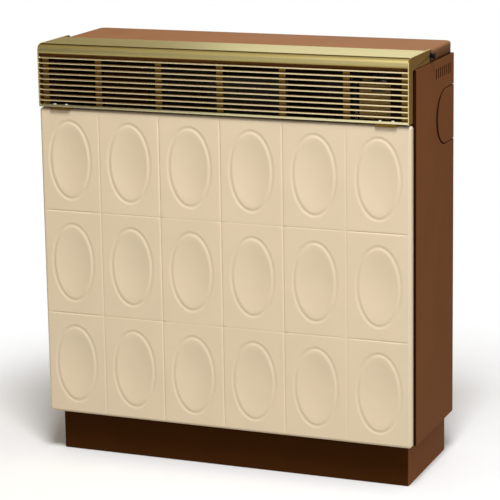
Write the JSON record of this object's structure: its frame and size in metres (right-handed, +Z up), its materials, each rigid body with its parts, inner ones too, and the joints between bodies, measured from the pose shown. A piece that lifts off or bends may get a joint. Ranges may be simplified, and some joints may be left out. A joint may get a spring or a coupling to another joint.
{
  "type": "gas convector heater",
  "caption": "Floor-standing gas convector heater with a tiled enamel front panel, a lift-up grille flap over its thermostat knob and igniter, and a rear flue socket.",
  "frame": {"origin": "on the floor, under the middle of the heater's overall width and depth", "axes": "+X to the right seen from the front, +Y to the back, +Z up; the front panel faces -Y"},
  "size_m": [0.654, 0.2416, 0.698],
  "materials": {
    "cream_enamel": "gloss enamel",
    "cover_enamel": "satin enamel",
    "side_enamel": "satin enamel",
    "plinth_enamel": "satin enamel",
    "frame_paint": "matt",
    "gold_aluminium": "satin gold anodised",
    "brass_plate": "satin",
    "dial_aluminium": "satin",
    "cast_aluminium": "as cast",
    "aluminised_steel": "dull",
    "zinc_steel": "zinc plated",
    "burner_steel": "heat dulled",
    "black_cast_iron": "matt heat-resistant",
    "black_plastic": "satin",
    "brass_fitting": "machined",
    "copper_pipe": "drawn",
    "white_ceramic": "glazed",
    "clear_glass": "clear"
  },
  "bodies": {
    "casing": {"plinth": "plinth_enamel", "base_plate": "plinth_enamel", "left_frame": "frame_paint", "right_frame": "frame_paint", "rear_panel": "side_enamel", "rear_rail": "frame_paint", "front_rail": "frame_paint", "left_side_panel": "side_enamel", "right_side_panel": "side_enamel", "top_cover": "cover_enamel", "cover_screws": "frame_paint", "front_panel": "cream_enamel", "panel_hooks": "zinc_steel", "panel_clips": "zinc_steel", "hinge_pins": "black_plastic", "hinge_spacers": "black_plastic", "control_plate": "frame_paint", "dial_plate": "dial_aluminium", "gas_valve": "cast_aluminium", "igniter_body": "black_plastic", "gas_inlet": "brass_fitting", "inlet_bracket": "zinc_steel", "inlet_pipe": "copper_pipe", "burner_pipe": "copper_pipe", "pilot_pipe": "copper_pipe", "pipe_nuts": "brass_fitting", "sensor_bulb": "copper_pipe", "sensor_clip": "zinc_steel", "exchanger_front": "black_cast_iron", "exchanger_rear": "black_cast_iron", "exchanger_bolts": "zinc_steel", "exchanger_feet": "frame_paint", "sight_glass": "clear_glass", "sight_frame": "zinc_steel", "burner_tube": "burner_steel", "burner_brackets": "zinc_steel", "gas_injector": "brass_fitting", "pilot_bracket": "zinc_steel", "pilot_burner": "brass_fitting", "thermocouple": "copper_pipe", "ignition_electrode": "white_ceramic", "draught_diverter": "aluminised_steel", "flue_collar": "aluminised_steel", "heat_shield": "aluminised_steel", "shield_spacers": "zinc_steel", "air_deflector": "frame_paint"},
    "flap": {"hood": "gold_aluminium", "left_cheek": "gold_aluminium", "right_cheek": "gold_aluminium", "grille_slats": "gold_aluminium", "bottom_bar": "gold_aluminium", "grille_posts": "gold_aluminium", "catch_tabs": "brass_plate", "catch_rivets": "zinc_steel"},
    "spindle": {"valve_spindle": "zinc_steel"},
    "knob": {"thermostat_knob": "black_plastic"},
    "igniter": {"igniter_button": "black_plastic"}
  },
  "joints": [
    {"name": "flap_hinge", "type": "hinge", "parent": "casing", "child": "flap", "pos_m": [0, -0.00925, 0.6875], "axis": [-1, 0, 0], "range_deg": [0, 110]},
    {"name": "thermostat_turn", "type": "hinge", "parent": "casing", "child": "spindle", "pos_m": [0.2595, -0.05925, 0.66], "axis": [0, 0, 1], "range_deg": [0, 270]},
    {"name": "knob_press", "type": "slide", "parent": "spindle", "child": "knob", "axis": [0, 0, -1], "range_m": [0, 0.004], "stiffness_N_per_m": 600},
    {"name": "igniter_press", "type": "slide", "parent": "casing", "child": "igniter", "axis": [0, 0, -1], "range_m": [0, 0.006], "stiffness_N_per_m": 500}
  ]
}
